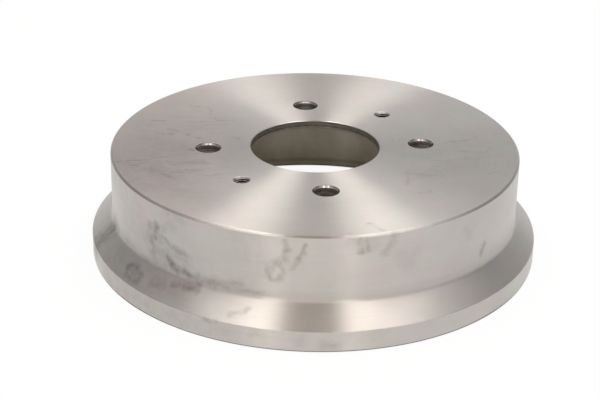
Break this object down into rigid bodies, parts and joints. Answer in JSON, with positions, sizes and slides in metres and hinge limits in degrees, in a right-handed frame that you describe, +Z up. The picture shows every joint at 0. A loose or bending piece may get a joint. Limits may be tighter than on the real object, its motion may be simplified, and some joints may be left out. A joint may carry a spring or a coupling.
{
  "type": "brake drum",
  "caption": "Turned cast-iron brake drum: round wall with a flared flange at its open mouth, and a flat web with a centre bore, countersunk stud holes and threaded jacking holes.",
  "frame": {"origin": "middle of the flat rim face that the drum stands on, on the turning axis", "axes": "+Z up the turning axis to the wheel face; +X through the first stud hole; the jacking holes lie at 45 and 225 degrees from +X"},
  "size_m": [0.24, 0.24, 0.057],
  "materials": {
    "turned_iron": "fine turned, bare"
  },
  "bodies": {
    "root": {"brake_drum": "turned_iron"}
  },
  "joints": []
}
